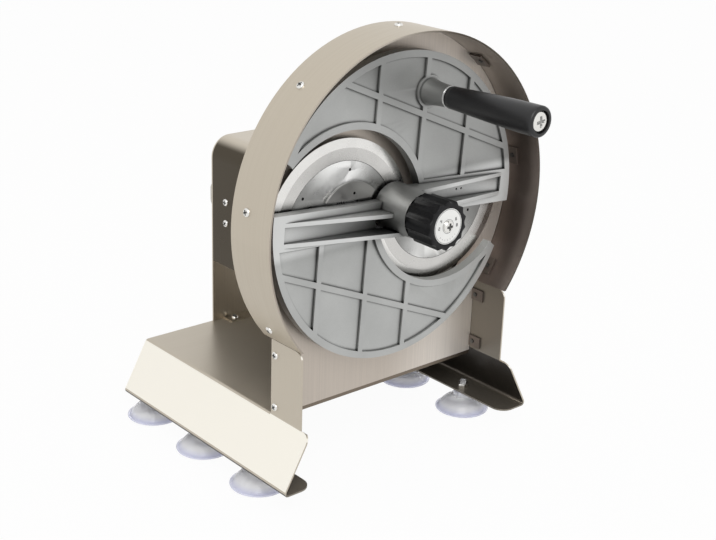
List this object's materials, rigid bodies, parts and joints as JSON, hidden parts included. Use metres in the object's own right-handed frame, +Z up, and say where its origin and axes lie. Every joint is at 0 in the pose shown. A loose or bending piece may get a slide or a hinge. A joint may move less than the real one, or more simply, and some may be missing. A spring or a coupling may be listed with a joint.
{
  "type": "hand-crank vegetable slicer",
  "caption": "Hand-crank vegetable slicer: cast bladed wheel in a sheet-steel drum stand with folded feet on suction cups, thickness knob, crank grip and rear feed hopper with pusher.",
  "frame": {"origin": "centre of the bounding box on the plane that the suction cups stand on", "axes": "+Z up, the crank and knob face -Y, the feed hopper faces +Y"},
  "size_m": [0.311, 0.3744, 0.395],
  "materials": {
    "sheet_steel": "brushed, warm",
    "cast_aluminium": "matt casting",
    "bright_steel": "bright",
    "black_plastic": "satin",
    "clear_vinyl": "soft, clear",
    "bronze": "sintered",
    "white_plastic": "satin"
  },
  "bodies": {
    "housing": {"drum_back_panel": "sheet_steel", "drum_ring": "sheet_steel", "base_sheet": "sheet_steel", "hopper_shell": "sheet_steel", "feed_trough": "sheet_steel", "rear_panel": "sheet_steel", "bearing_housing": "cast_aluminium", "front_bush": "bronze", "rear_bush": "bronze", "bearing_bolts": "bright_steel", "suction_cups_left": "clear_vinyl", "suction_cups_right": "clear_vinyl", "cup_nuts": "bright_steel", "ring_screws": "bright_steel", "cheek_screws": "bright_steel", "hopper_screws": "bright_steel", "foot_screws": "bright_steel", "rod_bushes": "bronze"},
    "blade_rotor": {"main_shaft": "bright_steel", "blade_carrier": "cast_aluminium", "blade_upper": "bright_steel", "blade_lower": "bright_steel", "blade_screws": "bright_steel", "shaft_nut": "bright_steel", "shaft_washer": "bright_steel", "adjusting_spring": "bright_steel"},
    "wheel": {"slicing_wheel": "cast_aluminium", "crank_spindle": "bright_steel", "collar_washer": "bright_steel", "grip_end_screw": "bright_steel"},
    "knob": {"adjusting_knob": "black_plastic", "dial_plate": "bright_steel", "dial_screw": "bright_steel"},
    "grip": {"crank_grip": "black_plastic"},
    "pusher": {"pusher_block": "white_plastic", "pusher_rods": "bright_steel", "pusher_bar": "white_plastic", "pusher_nuts": "bright_steel"}
  },
  "joints": [
    {"name": "crank_turn", "type": "hinge", "parent": "housing", "child": "blade_rotor", "pos_m": [0, 0, 0.238], "axis": [0, 1, 0], "continuous": true},
    {"name": "thickness_slide", "type": "slide", "parent": "blade_rotor", "child": "wheel", "axis": [0, -1, 0], "range_m": [-0.002, 0.008], "deforming": ["adjusting_spring"]},
    {"name": "knob_turn", "type": "hinge", "parent": "wheel", "child": "knob", "pos_m": [0, -0.1, 0.238], "axis": [0, 1, 0], "range_deg": [-72, 288]},
    {"name": "grip_spin", "type": "hinge", "parent": "wheel", "child": "grip", "pos_m": [0.02945, -0.13, 0.33618], "axis": [0, 1, 0], "continuous": true},
    {"name": "pusher_slide", "type": "slide", "parent": "housing", "child": "pusher", "axis": [0, 1, 0], "range_m": [0, 0.15]}
  ],
  "couplings": [
    {"joint": "knob_turn", "follows": "thickness_slide", "rad_per_m": 628.32}
  ]
}
